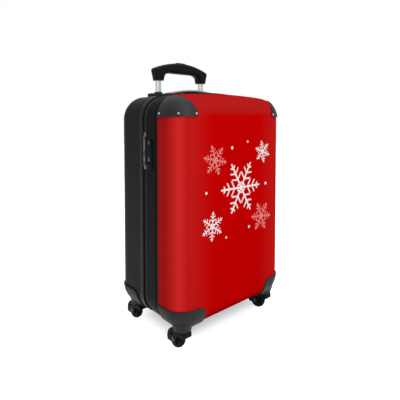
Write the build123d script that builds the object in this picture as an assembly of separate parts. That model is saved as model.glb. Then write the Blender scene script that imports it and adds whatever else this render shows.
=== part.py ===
from build123d import *
from math import sqrt
import os

os.makedirs("parts", exist_ok=True)

# Case, in millimetres. Depths run back from the front face.
case_width = 342.0
case_top = 550.0
case_bottom = 46.0
corner_radius = 54.0
crown_radius = 1370.0
wall = 2.5
front_depth = 69.0
piping_width = 10.5
frame_width = 29.5
zip_gap = 16.5
rear_depth = 107.0
front_edge_radius = 45.0
rear_edge_radius = 37.0

# Edge pieces
frame_leg = 1.9
frame_leg_depth = 13.0
frame_edge_round = 1.2
frame_rise = 4.5
lid_fall = 4.0
piping_sink = 0.9
piping_round = 3.0
piping_rise = 3.5
trim_lip = 0.8
trim_web = 2.0
trim_depth = 10.5
tape_thickness = 1.0
tape_depth = 12.0
coil_width = 2.45
coil_sink = 2.0
coil_split = 0.4
hinge_offset = 3.5
hinge_end_gap = 57.0
hinge_tape_thickness = 1.0
hinge_tape_lap = 11.5
hinge_tape_cover = 14.0

# Corner guards and rivets
guard_thickness = 3.0
guard_gap = 0.1
upper_guard_reach = 50.0
upper_guard_drop = 53.0
lower_guard_width = 73.0
lower_guard_height = 51.0
lower_guard_round = 18.0
rear_guard_reach = 82.0
rivet_radius = 2.6
rivet_sink = 0.9
rivet_setback = 6.5
rivet_edge = 1.4

# Casters
caster_inset_x = 36.6
caster_inset_y = 33.3
caster_trail = 16.5
wheel_radius = 20.5
wheel_width = 15.0
tyre_thickness = 5.2
tyre_crown = 2.4
hub_wheel_recess = 3.6
hood_gap = 1.0
hood_thickness = 1.8
fork_half_width = 12.0
fork_slot_half = 8.2
fork_head_front = 17.5
fork_head_height = 13.0
fork_head_round = 5.0
fork_foot = 11.0
fork_lobe = 7.0
fork_lobe_top = 13.0
fork_round = 2.4
swivel_gap = 0.4
swivel_plate = 4.0
collar_radius = 17.8
collar_height = 3.0
kingpin_radius = 4.0
kingpin_head_radius = 5.5
kingpin_head_height = 1.8
kingpin_fit = 0.05
socket_radius = 9.0
socket_rise = 10.0
axle_radius = 3.0
axle_fit = 0.06
axle_head_radius = 4.6
axle_head_height = 1.0
cheek_hole_radius = 3.2
housing_foot_radius = 19.5
housing_foot_height = 3.0
housing_flare_radius = 25.0
housing_flare_height = 15.0
housing_height = 40.0
housing_drop = 1.0

# Pull handle
tube_spacing = 142.0
tube_inset = 26.5
inner_tube_x = 13.0
inner_tube_y = 10.0
tube_gap = 0.2
tube_wall = 1.1
tube_round = 2.4
outer_tube_lift = 16.0
outer_tube_sink = 2.0
middle_tube_lift = 44.0
inner_tube_lift = 82.0
inner_tube_seat = 23.0
rod_setback = 18.0
collar_cap_height = 6.0
collar_cap_lap = 1.0
bezel_rise = 6.0
bezel_overhang = 27.0
bezel_width = 30.0
bezel_round = 3.0
bezel_collar = 2.0
bezel_collar_drop = 22.0
foot_overhang = 15.0
foot_height = 30.0
foot_width = 24.0

# Grip of the pull handle
grip_lift = 33.0
grip_leg_height = 20.5
grip_bar_height = 27.5
grip_crown_rise = 19.5
grip_end_reach = 17.5
grip_leg_outer_reach = 10.5
grip_leg_inner_reach = 11.5
grip_gap_reach = 29.0
grip_bend = 9.0
grip_end_bend = 5.0
grip_depth = 27.0
grip_round = 8.5
button_length = 30.0
button_width = 12.0
button_proud = 1.5
button_fit = 0.3
button_travel = 4.0
yoke_width = 6.0
yoke_height = 4.0
yoke_lift = 7.5
rod_radius = 2.0

# Carry handle on the top
carry_setback = 25.5
carry_half_length = 84.0
carry_rise = 15.0
carry_end_rise = 4.5
carry_thickness = 8.0
carry_width = 22.0
carry_round = 3.2
carry_leg_inset = 22.0
carry_leg_length = 12.0
carry_leg_width = 10.0
carry_leg_fit = 0.3
carry_travel = 11.0
carry_head_height = 4.0
carry_head_lap = 2.2
carry_socket_depth = 28.0
mount_wall = 3.0
mount_flange = 3.5
mount_rise = 2.5

# Lining and straps
lining_inset = 12.0
lining_wall = 1.2
lining_back_gap = 39.5
lining_edge_gap = 2.6
lining_back_round = 20.0
strap_width = 25.0
strap_thickness = 1.2
strap_offset = 4.0
strap_tilt = 52.0
buckle_length = 62.0
buckle_width = 34.0
buckle_thickness = 8.0

# Lock on the left side of the frame
lock_setback = 19.0
lock_drop = 135.5
lock_height = 67.0
lock_width = 18.0
lock_plate = 2.0
lock_plate_round = 5.0
lock_body_height = 60.0
lock_body_width = 14.0
lock_body_depth = 9.8
dial_radius = 5.6
dial_thickness = 5.0
dial_pitch = 7.0
dial_proud = 0.8
dial_offset = 10.0
dial_fit = 0.25
dial_groove = 0.55
shaft_radius = 1.5
shaft_fit = 0.05
plug_radius = 3.6
plug_fit = 0.05
plug_offset = 26.5
plug_depth = 8.0
plug_proud = 0.4
release_offset = -9.5
release_length = 9.0
release_width = 6.0
release_travel = 4.0
release_depth = 4.0
release_fit = 0.3
release_proud = 0.8

# Zip sliders and pulls
slider_upper_rise = 41.5
slider_lower_drop = 26.0
slider_length = 13.0
slider_width = 9.0
slider_clear = 0.3
slider_top = 0.4
ear_radius = 1.5
ear_thickness = 1.4
pull_pin_radius = 0.7
pull_bore_radius = 0.8
pull_pin_rise = 1.4
pull_width = 6.4
pull_neck_width = 3.4
pull_thickness = 1.5
pull_upper_length = 34.5
pull_lower_length = 23.0

# Stations derived from the sizes above
case_depth = front_depth + piping_width + frame_width + zip_gap + rear_depth
hood_inner = wheel_radius + hood_gap
hood_radius = hood_inner + hood_thickness
guard_skin = guard_thickness + guard_gap
front_reach = guard_skin + rivet_radius - rivet_sink
rear_reach = case_depth - caster_inset_y + caster_trail + hood_radius
y_face = (front_reach - rear_reach) / 2
y_shell = y_face + front_depth
y_frame_front = y_shell + piping_width
y_frame_back = y_frame_front + frame_width
y_zip = y_frame_back + zip_gap / 2
y_trim = y_frame_back + zip_gap
y_rear = y_trim + trim_web
y_back = y_face + case_depth
side_x = case_width / 2
leg_inset = wall + frame_leg
tape_inset = leg_inset + tape_thickness
corner_x = side_x - corner_radius
crown_centre_z = case_top - crown_radius
shoulder_z = crown_centre_z + sqrt((crown_radius - corner_radius) ** 2 - corner_x ** 2)
caster_x = side_x - caster_inset_x
y_front_caster = y_face + caster_inset_y
y_rear_caster = y_back - caster_inset_y
housing_z = case_bottom - housing_drop
fork_top = housing_z - swivel_gap
tube_x = tube_spacing / 2
y_tube = y_back - tube_inset
hinge_length = case_top - case_bottom - 2 * hinge_end_gap
bezel_top = case_top + bezel_rise
bezel_length = tube_spacing + 2 * bezel_overhang
bezel_collar_bottom = case_top - bezel_collar_drop
outer_tube_bottom = case_bottom + outer_tube_lift
outer_tube_top = bezel_top - outer_tube_sink
middle_tube_bottom = case_bottom + middle_tube_lift
inner_tube_bottom = case_bottom + inner_tube_lift
foot_length = tube_spacing + 2 * foot_overhang
foot_top = case_bottom + foot_height
grip_foot = bezel_top + grip_lift
grip_underside = grip_foot + grip_leg_height
grip_top = grip_underside + grip_bar_height
grip_shoulder = grip_top - grip_crown_rise
grip_half_length = tube_x + grip_end_reach
grip_leg_outer = tube_x + grip_leg_outer_reach
grip_leg_inner = tube_x - grip_leg_inner_reach
grip_gap_half = tube_x - grip_gap_reach
carry_peak = case_top + carry_rise
carry_end = case_top + carry_end_rise
carry_leg_x = carry_half_length - carry_leg_inset
carry_chamber_floor = case_top - carry_socket_depth
mount_flange_top = case_top + mount_rise
lining_back = case_depth - lining_back_gap
lock_centre_z = case_top - lock_drop
slider_upper_z = lock_centre_z + slider_upper_rise
slider_lower_z = lock_centre_z - slider_lower_drop


def outline(inset, rise=0):
    """Front view of the case, set in from its skin: straight sides, round corners, crowned top."""
    half = side_x - inset
    corner = corner_radius - inset
    crown = crown_radius - inset
    foot_z = case_bottom + corner_radius
    lean = Vector(corner_x, shoulder_z - crown_centre_z).normalized()
    halfway = (lean + Vector(1, 0)).normalized() * corner
    down = sqrt(0.5) * corner
    shoulder = (lean.X * crown, crown_centre_z + lean.Y * crown)
    bend = (corner_x + halfway.X, shoulder_z + halfway.Y)
    low_bend = (corner_x + down, foot_z - down)
    foot_end = (corner_x, case_bottom + inset)
    right = Line((half, foot_z), (half, shoulder_z))
    right += ThreePointArc((half, shoulder_z), bend, shoulder)
    right += ThreePointArc((half, foot_z), low_bend, foot_end)
    top = ThreePointArc((-shoulder[0], shoulder[1]), (0, case_top - inset + rise), shoulder)
    foot = Line((-foot_end[0], foot_end[1]), foot_end)
    return make_face((right + mirror(right, about=Plane.YZ) + top + foot).edges())


def prism(inset, front, back, rise=0):
    """The outline carried from one depth to another."""
    return extrude(Plane.XZ.offset(-back) * outline(inset, rise), amount=back - front)


def ring(outer, inner, front, back, rise=0):
    """A band that follows the outline between two insets, its crown raised over the case's own."""
    return prism(outer, front, back, rise) - prism(inner, front - 1, back + 1)


def lid_block(inset, back=y_shell):
    """The front half as a solid: its crown falls from the frame's leg to the face, which has round edges."""
    rim = Plane.XZ.offset(-back) * outline(inset)
    bend = Plane.XZ.offset(frame_leg_depth + guard_gap - y_shell) * outline(inset)
    face = Plane.XZ.offset(-y_face - inset) * outline(inset, -lid_fall)
    block = loft([rim, bend, face], ruled=True)
    radius = min(front_edge_radius, corner_radius - 4) - inset
    return fillet(block.faces().sort_by(Axis.Y)[0].edges(), radius)


def rear_block(inset, front=y_rear):
    """The rear half as a solid, with its rear edges rounded."""
    block = prism(inset, front, y_back - inset)
    radius = min(rear_edge_radius, corner_radius - 4) - inset
    return fillet(block.faces().sort_by(Axis.Y)[-1].edges(), radius)


def pair(solid):
    """A solid and its mirror image on the other side."""
    return Compound(children=[solid, mirror(solid, about=Plane.YZ)])


def rounded_box(length, width, low, high, radius):
    """An upright block with rounded vertical edges, standing between two heights."""
    return Pos(0, 0, low) * extrude(RectangleRounded(length, width, radius), amount=high - low)


# Shells
socket_hole = Pos(0, 0, case_bottom) * Cylinder(socket_radius + guard_gap, 4 * socket_rise)
lid_holes = [Pos(side * caster_x, y_front_caster, 0) * socket_hole for side in (-1, 1)]
rear_holes = [Pos(side * caster_x, y_rear_caster, 0) * socket_hole for side in (-1, 1)]
collar_x = inner_tube_x + 4 * tube_gap + 4 * tube_wall + 2 * bezel_collar
collar_y = inner_tube_y + 4 * tube_gap + 4 * tube_wall + 2 * bezel_collar
mount_x = carry_leg_length + 2 * carry_leg_fit + 2 * carry_head_lap + 2 * mount_wall
mount_y = carry_leg_width + 2 * carry_leg_fit + 2 * carry_head_lap + 2 * mount_wall
y_carry = y_rear + carry_setback
mount_bottom = carry_chamber_floor - mount_wall

lid_outer = lid_block(0)
front_shell = lid_outer - lid_block(wall, y_shell + 1) - lid_holes
rear_outer = rear_block(0)
rear_shell = rear_outer - rear_block(wall, y_rear - 1) - rear_holes
for side in (-1, 1):
    tube_hole = rounded_box(
        collar_x + 2 * guard_gap, collar_y + 2 * guard_gap, case_top - 40, case_top + 20, 3
    )
    mount_hole = rounded_box(
        mount_x + 2 * guard_gap, mount_y + 2 * guard_gap, case_top - 40, case_top + 20, 3
    )
    rear_shell -= Pos(side * tube_x, y_tube, 0) * tube_hole
    rear_shell -= Pos(side * carry_leg_x, y_carry, 0) * mount_hole

# Frame, piping, edge trim and the two halves of the zip
y_lock = y_frame_front + lock_setback
lock_cut = Pos(-side_x, y_lock, lock_centre_z) * Box(40, lock_body_width + 0.2, lock_body_height + 0.2)
frame_band = ring(0, wall, y_frame_front, y_frame_back, frame_rise)
band_rims = frame_band.faces().sort_by(Axis.Y)[0].outer_wire().edges()
band_rims += frame_band.faces().sort_by(Axis.Y)[-1].outer_wire().edges()
frame_band = fillet(band_rims, frame_edge_round)
front_frame = frame_band + ring(wall, leg_inset, y_shell - frame_leg_depth, y_frame_back - 1) - lock_cut

front_piping = ring(piping_sink, wall, y_shell + 0.1, y_frame_front - 0.1, piping_rise)
piping_rims = front_piping.faces().sort_by(Axis.Y)[0].outer_wire().edges()
piping_rims += front_piping.faces().sort_by(Axis.Y)[-1].outer_wire().edges()
front_piping = fillet(piping_rims, min(piping_round, wall - piping_sink - 0.1))

rear_edge_trim = ring(-trim_lip, leg_inset, y_trim, y_rear)
rear_edge_trim += ring(-trim_lip, 0, y_rear, y_rear + trim_depth)
rear_edge_trim += ring(wall, leg_inset, y_rear, y_rear + trim_depth)

coil_stop = Pos(side_x, y_zip, (case_top + case_bottom) / 2) * Box(60, 60, hinge_length + 6)
front_coil_edge = y_zip - coil_split / 2
rear_coil_edge = y_zip + coil_split / 2
front_zip_half = ring(leg_inset, tape_inset, y_frame_back - tape_depth, front_coil_edge) - lock_cut
front_zip_half += ring(coil_sink, leg_inset, front_coil_edge - coil_width, front_coil_edge) - coil_stop
rear_zip_half = ring(leg_inset, tape_inset, rear_coil_edge, y_rear + trim_depth)
rear_zip_half += ring(coil_sink, leg_inset, rear_coil_edge, rear_coil_edge + coil_width) - coil_stop

hinge_tape_x = side_x + trim_lip + 0.1 + hinge_tape_thickness / 2
hinge_tape_depth = hinge_tape_cover + hinge_tape_lap
hinge_tape_y = y_trim - hinge_tape_cover + hinge_tape_depth / 2
hinge_tape = Pos(hinge_tape_x, hinge_tape_y, (case_top + case_bottom) / 2)
hinge_tape *= Box(hinge_tape_thickness, hinge_tape_depth, hinge_length)

# Corner guards. Each is a patch of the case's own skin, grown outwards.
lid_skin = lid_block(-guard_skin)
rear_skin = rear_block(-guard_skin)
lid_seat = lid_block(-guard_gap)
rear_seat = rear_block(-guard_gap)
guard_top_z = case_top - upper_guard_drop
guard_low_z = case_bottom + lower_guard_height

half_disc = Circle(upper_guard_reach) - Pos(0, -case_width) * Rectangle(2 * case_width, 2 * case_width)
half_disc = Pos(side_x, guard_top_z) * half_disc
upper_cut = extrude(Plane.XZ.offset(-y_shell + 0.6) * half_disc, amount=front_depth + 20)
upper_guard = upper_cut & (lid_skin - lid_seat)

guard_side = lower_guard_width + 20
guard_rise = guard_low_z - housing_z
corner_patch = Pos(side_x + 20 - guard_side / 2, housing_z + guard_rise / 2)
corner_patch *= Rectangle(guard_side, guard_rise)
corner_patch = fillet(corner_patch.vertices().group_by(Axis.Y)[-1].sort_by(Axis.X)[0], lower_guard_round)
lid_patch = extrude(Plane.XZ.offset(-y_shell + 0.6) * corner_patch, amount=front_depth + 20)

rear_patch = extrude(Plane.XZ.offset(-y_back - 20) * corner_patch, amount=rear_guard_reach + 20)
side_patch = Pos(y_back + 10 - rear_guard_reach / 2, housing_z + guard_rise / 2)
side_patch *= Rectangle(rear_guard_reach + 20, guard_rise)
side_patch = fillet(side_patch.vertices().group_by(Axis.Y)[-1].sort_by(Axis.X)[0], lower_guard_round)
rear_patch &= extrude(Plane.YZ * side_patch, amount=2 * case_width)


def housing(y_caster, patch, skin, seat):
    """A lower corner guard with the flared base that its caster turns under."""
    foot_z = housing_z + housing_foot_height
    flare_z = foot_z + housing_flare_height
    apex = housing_z + housing_height
    side = Polyline(
        (0, housing_z),
        (housing_foot_radius, housing_z),
        (housing_foot_radius, foot_z),
        (housing_flare_radius, flare_z),
        (housing_flare_radius, apex),
        (0, apex),
        close=True,
    )
    base = Pos(caster_x, y_caster, 0) * revolve(Plane.XZ * make_face(side.edges()), Axis.Z)
    socket = Pos(caster_x, y_caster, housing_z + socket_rise / 2) * Cylinder(socket_radius, socket_rise)
    body = (patch & (skin - seat)) + (base - seat) + socket
    return body - Pos(caster_x, y_caster, housing_z) * Cylinder(kingpin_radius, 2 * socket_rise - 3)


lower_guard = housing(y_front_caster, lid_patch, lid_skin, lid_seat)
rear_guard = housing(y_rear_caster, rear_patch, rear_skin, rear_seat)


def rivet(point, normal):
    """A domed head whose flat foot sits on the guard under it."""
    head = split(Pos(0, 0, -rivet_sink) * Sphere(rivet_radius), bisect_by=Plane.XY, keep=Keep.TOP)
    return Plane(point, z_dir=normal) * head


def front_rivet(x, z, skin):
    """A rivet on the front skin, placed by its spot in the front view."""
    hits = skin.find_intersection_points(Axis((x, y_face - 50, z), (0, 1, 0)))
    point, normal = min(hits, key=lambda hit: hit[0].Y)
    return rivet(point, normal * (-1 if normal.Y > 0 else 1))


def side_rivet(y, z):
    """A rivet on the side skin."""
    return rivet(Vector(side_x + guard_skin, y, z), Vector(1, 0, 0))


upper_z = guard_top_z + rivet_setback
inner_x = side_x - upper_guard_reach + rivet_radius + rivet_edge
bend_x = side_x - front_edge_radius + (front_edge_radius + guard_skin) * sqrt(0.5)
right_rivets = [
    side_rivet(y_shell - 9, upper_z),
    front_rivet(bend_x, upper_z, lid_skin),
    front_rivet(inner_x, upper_z, lid_skin),
]
front_rivets = Compound(children=right_rivets + [mirror(head, about=Plane.YZ) for head in right_rivets])

# Casters, drawn round a swivel axis that stands on the origin
plate_low = fork_top - swivel_plate


def kingpin():
    pin_top = housing_z + socket_rise - 1.5
    pin = Pos(0, 0, (plate_low + pin_top) / 2) * Cylinder(kingpin_radius, pin_top - plate_low)
    head_z = plate_low - kingpin_head_height / 2 - kingpin_fit
    pin += Pos(0, 0, head_z) * Cylinder(kingpin_head_radius, kingpin_head_height + 2 * kingpin_fit)
    return pin


def fork():
    """Hooded fork: a swivel head, two cheeks and a guard over the wheel."""
    head_low = fork_top - fork_head_height
    front_end = -fork_head_front + fork_head_round
    rear_end = caster_trail + hood_radius
    profile = make_hull(
        (
            Pos(caster_trail, wheel_radius) * Circle(hood_radius)
            + Pos(front_end, fork_foot) * Circle(fork_head_round)
            + Pos(front_end, fork_top - fork_head_round) * Circle(fork_head_round)
        ).edges()
    )
    above_foot = Polyline(
        (-fork_head_front - 1, head_low),
        (caster_trail - fork_lobe_top, head_low),
        (caster_trail - fork_lobe, fork_foot),
        (rear_end + 1, fork_foot),
        (rear_end + 1, fork_top),
        (-fork_head_front - 1, fork_top),
        close=True,
    )
    profile &= make_face(above_foot.edges())
    low_corners = profile.vertices().filter_by(lambda v: v.Y < head_low + 0.5)
    profile = fillet(low_corners, fork_round)
    body = extrude(Plane.YZ * profile, amount=fork_half_width, both=True)
    rims = body.faces().sort_by(Axis.X)[0].edges() + body.faces().sort_by(Axis.X)[-1].edges()
    body = fillet(rims, fork_round)
    body += Pos(0, 0, fork_top - collar_height / 2) * Cylinder(collar_radius, collar_height)
    axle_line = Pos(0, caster_trail, wheel_radius) * Rot(0, 90, 0)
    body -= axle_line * Cylinder(hood_inner, 2 * fork_slot_half)
    slot_height = 2 * (wheel_radius - fork_foot)
    body -= Pos(0, caster_trail, fork_foot) * Box(2 * fork_slot_half, 2 * hood_inner, slot_height)
    body -= axle_line * Cylinder(axle_radius, 4 * fork_half_width)
    hole_at = Pos(0, caster_trail + 0.3 * wheel_radius, wheel_radius + 0.5 * wheel_radius) * Rot(0, 90, 0)
    body -= hole_at * Cylinder(cheek_hole_radius, 4 * fork_half_width)
    body -= Cylinder(kingpin_radius + kingpin_fit, 4 * fork_top)
    recess = kingpin_head_radius + 0.5
    body -= Pos(0, 0, plate_low - 10) * Cylinder(recess, 20)
    return body


def on_axle(section):
    """Turn a radial section about the wheel's axle."""
    return Pos(0, caster_trail, wheel_radius) * revolve(section, Axis.X)


def tyre():
    half = wheel_width / 2
    bead = wheel_radius - tyre_thickness
    edge = wheel_radius - tyre_crown
    section = Polyline((-half, edge), (-half, bead), (half, bead), (half, edge))
    section += ThreePointArc((half, edge), (0, wheel_radius), (-half, edge))
    return on_axle(make_face(section.edges()))


def hub():
    half = wheel_width / 2
    bead = wheel_radius - tyre_thickness
    rim = bead - 2.6
    nave = 2.3 * axle_radius
    bore = axle_radius + axle_fit
    web = half - hub_wheel_recess
    section = Polyline(
        (-half - 0.3, bore), (-half - 0.3, nave), (-web, nave), (-web, rim), (-half, rim), (-half, bead),
        (half, bead), (half, rim), (web, rim), (web, nave), (half + 0.3, nave), (half + 0.3, bore),
        close=True,
    )
    return on_axle(make_face(section.edges()))


def axle():
    pin = Cylinder(axle_radius, 2 * fork_half_width)
    for end in (-1, 1):
        head_at = end * (fork_half_width + axle_head_height / 2)
        pin += Pos(0, 0, head_at) * Cylinder(axle_head_radius, axle_head_height)
    return Pos(0, caster_trail, wheel_radius) * Rot(0, 90, 0) * pin


caster_parts = {"fork": fork(), "axle": axle(), "wheel": hub(), "tyre": tyre()}
casters = {}
for half_name, y_caster in (("front", y_front_caster), ("rear", y_rear_caster)):
    for side_name, side in (("left", -1), ("right", 1)):
        for kind, solid in caster_parts.items():
            casters[f"caster_{half_name}_{side_name}_{kind}"] = Pos(side * caster_x, y_caster, 0) * solid
front_kingpins = pair(Pos(caster_x, y_front_caster, 0) * kingpin())
rear_kingpins = pair(Pos(caster_x, y_rear_caster, 0) * kingpin())

# Pull handle
middle_x = inner_tube_x + 2 * tube_gap + 2 * tube_wall
middle_y = inner_tube_y + 2 * tube_gap + 2 * tube_wall
outer_x = middle_x + 2 * tube_gap + 2 * tube_wall
outer_y = middle_y + 2 * tube_gap + 2 * tube_wall
grip_seat = grip_foot + inner_tube_seat


def tube(length, width, low, high):
    bore = rounded_box(
        length - 2 * tube_wall, width - 2 * tube_wall, low - 1, high + 1, tube_round - tube_wall / 2
    )
    return Pos(tube_x, y_tube, 0) * (rounded_box(length, width, low, high, tube_round) - bore)


outer_tubes = pair(tube(outer_x, outer_y, outer_tube_bottom, outer_tube_top))
middle_tubes = pair(tube(middle_x, middle_y, middle_tube_bottom, outer_tube_top))
inner_tubes = pair(tube(inner_tube_x, inner_tube_y, inner_tube_bottom, grip_seat))

cap_x = middle_x + 2 * collar_cap_lap
cap_y = middle_y + 2 * collar_cap_lap
cap_top = outer_tube_top + collar_cap_height
cap = rounded_box(cap_x, cap_y, outer_tube_top, cap_top, tube_round)
cap -= rounded_box(
    inner_tube_x + 2 * tube_gap, inner_tube_y + 2 * tube_gap, outer_tube_top - 1, cap_top + 1, 2
)
middle_collars = pair(Pos(tube_x, y_tube, 0) * cap)

bezel = rounded_box(bezel_length, bezel_width, case_top - 40, bezel_top, bezel_width / 3)
bezel = fillet(bezel.faces().sort_by(Axis.Z)[-1].edges(), bezel_round)
handle_bezel = Pos(0, y_tube, 0) * bezel - rear_seat
for side in (-1, 1):
    at_tube = Pos(side * tube_x, y_tube, 0)
    handle_bezel += at_tube * rounded_box(
        collar_x, collar_y, bezel_collar_bottom, bezel_top - bezel_round, 3
    )
for side in (-1, 1):
    at_tube = Pos(side * tube_x, y_tube, 0)
    handle_bezel -= at_tube * rounded_box(
        outer_x, outer_y, bezel_collar_bottom - 1, outer_tube_top, tube_round
    )
    opening_x = cap_x + 4 * tube_gap
    opening_y = cap_y + 4 * tube_gap
    handle_bezel -= at_tube * rounded_box(
        opening_x, opening_y, outer_tube_top - 1, bezel_top + 1, tube_round
    )

foot = Pos(0, y_tube, (case_bottom + foot_top) / 2) * Box(foot_length, foot_width, foot_top - case_bottom)
handle_foot = foot & rear_block(wall + guard_gap)
for side in (-1, 1):
    tube_end = rounded_box(outer_x, outer_y, outer_tube_bottom, foot_top + 1, tube_round)
    handle_foot -= Pos(side * tube_x, y_tube, 0) * tube_end

# Grip with its button, yoke and rods
right_side = Polyline(
    (grip_gap_half, grip_underside),
    (grip_leg_inner - 4, grip_underside - 5),
    (grip_leg_inner, grip_foot),
    (grip_leg_outer, grip_foot),
    (grip_half_length, grip_shoulder),
)
left_side = mirror(right_side, about=Plane.YZ)
crown_arc = ThreePointArc(
    (-grip_half_length, grip_shoulder), (0, grip_top), (grip_half_length, grip_shoulder)
)
under = Line((-grip_gap_half, grip_underside), (grip_gap_half, grip_underside))
grip_face = make_face((right_side + left_side + crown_arc + under).edges())
corners = grip_face.vertices()
grip_face = fillet(corners.filter_by(lambda v: grip_foot + 1 < v.Y < grip_shoulder - 1), grip_bend)
grip_face = fillet(grip_face.vertices().sort_by(Axis.X)[0], grip_end_bend)
grip_face = fillet(grip_face.vertices().sort_by(Axis.X)[-1], grip_end_bend)
grip = extrude(Plane.XZ * grip_face, amount=grip_depth / 2, both=True)
long_edges = grip.faces().sort_by(Axis.Y)[0].edges() + grip.faces().sort_by(Axis.Y)[-1].edges()
grip = fillet(long_edges.filter_by(lambda e: e.center().Z > grip_foot + 0.1), grip_round)
yoke_low = grip_underside + yoke_lift
yoke_half = tube_x + rod_radius + 0.5
cavity = Pos(0, 0, yoke_low + yoke_height / 2 - button_travel / 2)
cavity *= Box(2 * yoke_half + 2, yoke_width + 1, yoke_height + button_travel + 0.8)
grip -= cavity
for side in (-1, 1):
    grip -= Pos(side * tube_x, 0, 0) * rounded_box(
        inner_tube_x, inner_tube_y, grip_foot - 1, grip_seat, tube_round
    )
    rod_room = Cylinder(rod_radius + 1, yoke_low - grip_seat + 2)
    grip -= Pos(side * tube_x, 0, (yoke_low + grip_seat) / 2) * rod_room
button_hole = rounded_box(
    button_length + 2 * button_fit, button_width + 2 * button_fit, yoke_low, grip_top + 5, 5
)
grip -= button_hole
grip_body = Pos(0, y_tube, 0) * grip

button = rounded_box(button_length, button_width, yoke_low + yoke_height, grip_top + button_proud, 5)
button = fillet(button.faces().sort_by(Axis.Z)[-1].edges(), button_proud)
grip_button = Pos(0, y_tube, 0) * button
rod_low = inner_tube_bottom + rod_setback
push_rods = Pos(0, 0, yoke_low + yoke_height / 2) * Box(2 * yoke_half, yoke_width, yoke_height)
for side in (-1, 1):
    rod_length = yoke_low - rod_low
    push_rods += Pos(side * tube_x, 0, rod_low + rod_length / 2) * Cylinder(rod_radius, rod_length)
push_rods = Pos(0, y_tube, 0) * push_rods

# Carry handle: an arched bar on two legs that slide in sockets under the top
arch = ThreePointArc((-carry_half_length, carry_end), (0, carry_peak), (carry_half_length, carry_end))
arch += Line((carry_half_length, carry_end), (carry_half_length, carry_end - 1))
arch += Line((-carry_half_length, carry_end), (-carry_half_length, carry_end - 1))
span = carry_leg_x - carry_leg_length
low_end = carry_end - 1
arch += Line((carry_half_length, low_end), (span, low_end))
arch += Line((-carry_half_length, low_end), (-span, low_end))
arch += ThreePointArc((-span, low_end), (0, carry_peak - carry_thickness), (span, low_end))
bar = extrude(Plane.XZ * make_face(arch.edges()), amount=carry_width / 2, both=True)
upper_rims = bar.edges().filter_by(lambda e: e.center().Z > low_end + 0.6 and abs(e.center().Y) > 1)
bar = fillet(upper_rims, carry_round)
chamber_roof = carry_chamber_floor + carry_head_height + carry_travel + 0.5
for side in (-1, 1):
    leg = rounded_box(carry_leg_length, carry_leg_width, carry_chamber_floor + 0.3, carry_end, 2)
    head_x = carry_leg_length + 2 * carry_head_lap
    head_y = carry_leg_width + 2 * carry_head_lap
    head_low = carry_chamber_floor + 0.3
    leg += rounded_box(head_x, head_y, head_low, head_low + carry_head_height, 2)
    bar += Pos(side * carry_leg_x, 0, 0) * leg
carry_grip = Pos(0, y_carry, 0) * bar

mount = rounded_box(mount_x, mount_y, mount_bottom, mount_flange_top - 1, 3)
flange = rounded_box(
    mount_x + 2 * mount_flange, mount_y + 2 * mount_flange, case_top - 12, mount_flange_top, 5
)
flange = fillet(flange.faces().sort_by(Axis.Z)[-1].edges(), 1.2)
mount += flange - Pos(-carry_leg_x, -y_carry, 0) * rear_seat
chamber_x = mount_x - 2 * mount_wall
chamber_y = mount_y - 2 * mount_wall
mount -= rounded_box(chamber_x, chamber_y, carry_chamber_floor, chamber_roof, 2)
shaft_x = carry_leg_length + 2 * carry_leg_fit
shaft_y = carry_leg_width + 2 * carry_leg_fit
mount -= rounded_box(shaft_x, shaft_y, carry_chamber_floor, mount_flange_top + 5, 2)
carry_mounts = pair(Pos(carry_leg_x, y_carry, 0) * mount)

# Linings: cloth trays whose edges are sewn to the zip tape
y_front_lining = y_zip - lining_edge_gap
y_rear_lining = y_zip + lining_edge_gap
y_lining_back = y_face + lining_back
inner_skin = lining_inset + lining_wall
front_lining = lid_block(lining_inset, y_front_lining) - lid_block(inner_skin, y_front_lining + 1)
front_lining += ring(tape_inset + 0.1, lining_inset + 0.5, y_front_lining - lining_wall, y_front_lining)


def rear_tray(inset, front, back):
    block = prism(inset, front, back)
    return fillet(block.faces().sort_by(Axis.Y)[-1].edges(), lining_back_round - inset + lining_inset)


rear_lining = rear_tray(lining_inset, y_rear_lining, y_lining_back)
rear_lining -= rear_tray(inner_skin, y_rear_lining - 1, y_lining_back - lining_wall)
rear_lining += ring(tape_inset + 0.1, lining_inset + 0.5, y_rear_lining, y_rear_lining + lining_wall)
for side in (-1, 1):
    clear = rounded_box(mount_x + 0.6, mount_y + 0.6, mount_bottom - 1, case_top + 10, 3)
    rear_lining -= Pos(side * carry_leg_x, y_carry, 0) * clear

middle_z = (case_top + case_bottom) / 2
y_strap = y_rear_lining + strap_offset
strap_room = prism(inner_skin + 0.1, y_strap - 5, y_strap + 10)
buckle_room = Pos(0, y_strap, middle_z) * Box(buckle_length, 3 * buckle_thickness, buckle_width)
webbing = []
for layer, tilt in enumerate((strap_tilt, -strap_tilt)):
    band = Pos(0, y_strap + layer * (strap_thickness + 0.2), middle_z) * Rot(0, tilt, 0)
    band *= Box(2 * case_top, strap_thickness, strap_width)
    webbing += ((band & strap_room) - buckle_room).solids()
strap_webbing = Compound(children=webbing)
buckle = RectangleRounded(buckle_length, buckle_width, 8)
strap_buckle = Pos(0, y_strap + strap_thickness + buckle_thickness / 2, middle_z)
strap_buckle *= extrude(Plane.XZ * buckle, amount=buckle_thickness)

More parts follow.
